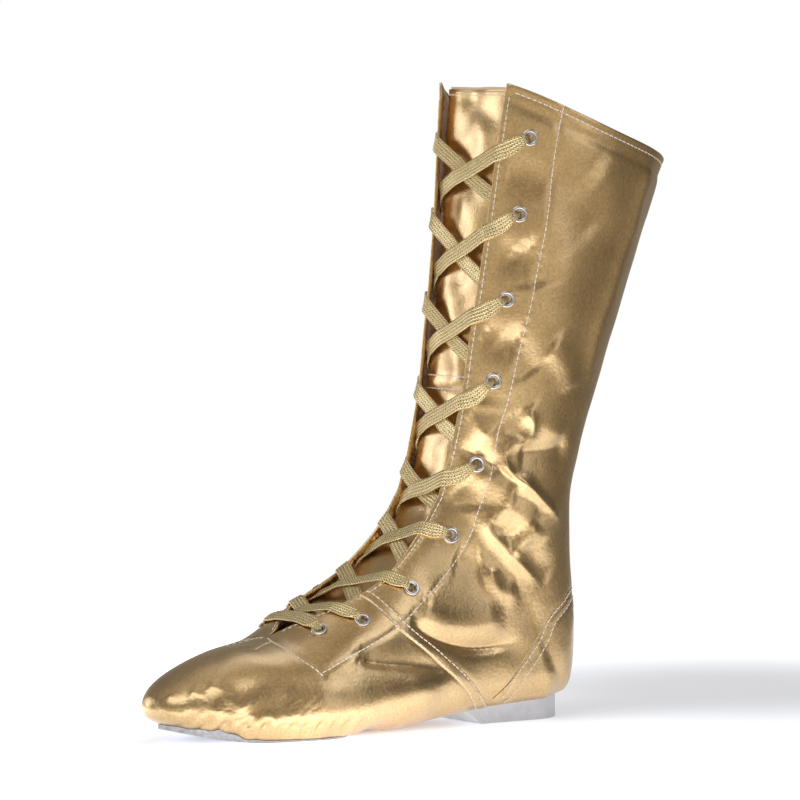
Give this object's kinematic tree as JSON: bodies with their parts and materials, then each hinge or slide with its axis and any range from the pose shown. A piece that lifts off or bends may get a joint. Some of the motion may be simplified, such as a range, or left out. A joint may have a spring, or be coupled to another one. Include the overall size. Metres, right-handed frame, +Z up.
{
  "type": "folk dance boot",
  "caption": "Soft gold lace-up dance boot for the left foot, mid-calf shaft open at the collar, long tongue, flat lace, split sole with suede forefoot pad and low heel.",
  "frame": {"origin": "middle of the boot's footprint box, on the floor it stands on", "axes": "+X towards the toe, +Y towards the outer (left) side, +Z up"},
  "size_m": [0.301, 0.1, 0.32],
  "materials": {
    "gold_leather": "metallic foil",
    "gold_lace": "metallic braid",
    "eyelet_steel": "polished",
    "sole_suede": "suede",
    "heel_foam": "matte",
    "lining_cloth": "matte"
  },
  "bodies": {
    "root": {"upper": "gold_leather", "heel_counter": "gold_leather", "vamp_seam_outer": "gold_leather", "vamp_seam_inner": "gold_leather", "tongue": "gold_leather", "forefoot_sole": "sole_suede", "heel": "heel_foam", "insole": "lining_cloth", "lace_bar": "gold_lace", "lace_cross_1": "gold_lace", "lace_cross_2": "gold_lace", "lace_cross_3": "gold_lace", "lace_cross_4": "gold_lace", "lace_cross_5": "gold_lace", "lace_cross_6": "gold_lace", "lace_cross_7": "gold_lace", "lace_cross_8": "gold_lace", "eyelet_outer_1": "eyelet_steel", "eyelet_outer_2": "eyelet_steel", "eyelet_outer_3": "eyelet_steel", "eyelet_outer_4": "eyelet_steel", "eyelet_outer_5": "eyelet_steel", "eyelet_outer_6": "eyelet_steel", "eyelet_outer_7": "eyelet_steel", "eyelet_outer_8": "eyelet_steel", "eyelet_outer_9": "eyelet_steel", "eyelet_inner_1": "eyelet_steel", "eyelet_inner_2": "eyelet_steel", "eyelet_inner_3": "eyelet_steel", "eyelet_inner_4": "eyelet_steel", "eyelet_inner_5": "eyelet_steel", "eyelet_inner_6": "eyelet_steel", "eyelet_inner_7": "eyelet_steel", "eyelet_inner_8": "eyelet_steel", "eyelet_inner_9": "eyelet_steel"}
  },
  "joints": []
}
